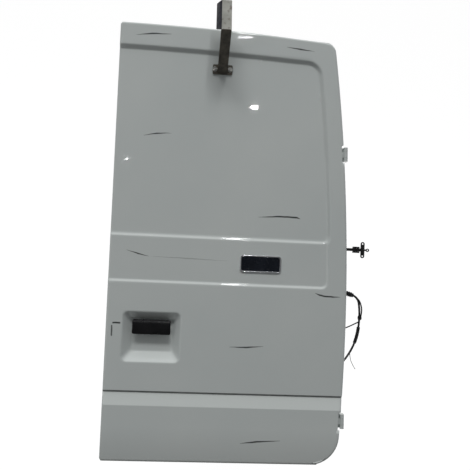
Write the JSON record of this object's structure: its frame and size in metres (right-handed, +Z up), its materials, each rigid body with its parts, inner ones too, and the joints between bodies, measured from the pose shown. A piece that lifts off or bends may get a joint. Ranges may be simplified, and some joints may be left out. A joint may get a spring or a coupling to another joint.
{
  "type": "van rear barn door",
  "caption": "Rear barn door leaf of a camper van with a blank window pressing, recessed pull handle, door check, wiring loom and bolted support arm; swings on edge hinges.",
  "frame": {"origin": "middle of the lower hinge's mounting face, where it bolts to the pillar", "axes": "+X from the latch edge towards the hinges, +Y into the vehicle, +Z up; the outer face looks along -Y"},
  "size_m": [0.9178, 0.1993, 1.5772],
  "materials": {
    "body_paint": "gloss white paint, lightly scratched",
    "trim_board": "grained grey lining board",
    "black_plastic": "grained black",
    "black_rubber": "matt black rubber",
    "zinc_steel": "zinc plated",
    "badge_chrome": "bright rim",
    "badge_enamel": "dark slate, plain",
    "arm_grey": "worn light grey paint",
    "arm_dark": "dark, rusty",
    "check_black": "black coated steel",
    "loom_black": "taped loom",
    "loom_grey": "bare grey wire"
  },
  "bodies": {
    "hinge_leaves": {"upper_hinge_body_leaf": "body_paint", "lower_hinge_body_leaf": "body_paint", "upper_hinge_pin": "zinc_steel", "lower_hinge_pin": "zinc_steel"},
    "door": {"badge_plate": "badge_enamel", "badge_rim": "badge_chrome", "centre_seal": "black_rubber", "check_housing": "zinc_steel", "handle_carrier": "black_plastic", "handle_pin": "zinc_steel", "header_rail": "body_paint", "hinge_stile": "body_paint", "inner_panel": "body_paint", "latch_bay": "body_paint", "latch_case": "zinc_steel", "latch_claw": "zinc_steel", "latch_plate": "zinc_steel", "latch_stile": "body_paint", "loom_branch": "loom_black", "loom_gaiter": "black_rubber", "loom_grommets": "black_rubber", "loom_knot": "loom_black", "loom_main": "loom_black", "loom_strand": "loom_black", "loom_tail": "loom_grey", "lower_hinge_door_leaf": "body_paint", "outer_skin": "body_paint", "sill_rail": "body_paint", "support_arm_lower": "arm_dark", "support_arm_upper": "arm_grey", "support_bolts": "zinc_steel", "support_foot": "arm_dark", "support_nuts": "zinc_steel", "trim_panel": "trim_board", "upper_brace": "body_paint", "upper_hinge_door_leaf": "body_paint"},
    "handle": {"handle_lever": "black_plastic"},
    "check_arm": {"check_strap": "check_black", "check_pin": "zinc_steel"},
    "check_end": {"check_bracket": "check_black"}
  },
  "joints": [
    {"name": "door_swing", "type": "hinge", "parent": "hinge_leaves", "child": "door", "pos_m": [0.02049, -0.0195, 0.00048], "axis": [-0.0236, 0, 0.9997], "range_deg": [0, 180]},
    {"name": "handle_pull", "type": "hinge", "parent": "door", "child": "handle", "pos_m": [-0.65944, -0.0065, 0.32048], "axis": [-1, 0, 0], "range_deg": [0, 28], "stiffness_Nm_per_rad": 2, "springref_deg": -17.19},
    {"name": "check_strap_slide", "type": "slide", "parent": "door", "child": "check_arm", "axis": [1, 0, 0], "range_m": [-0.03, 0.1]},
    {"name": "check_bracket_pivot", "type": "hinge", "parent": "check_arm", "child": "check_end", "pos_m": [0.06035, 0.0045, 0.60548], "axis": [0, 0, 1], "range_deg": [-50, 50]}
  ]
}
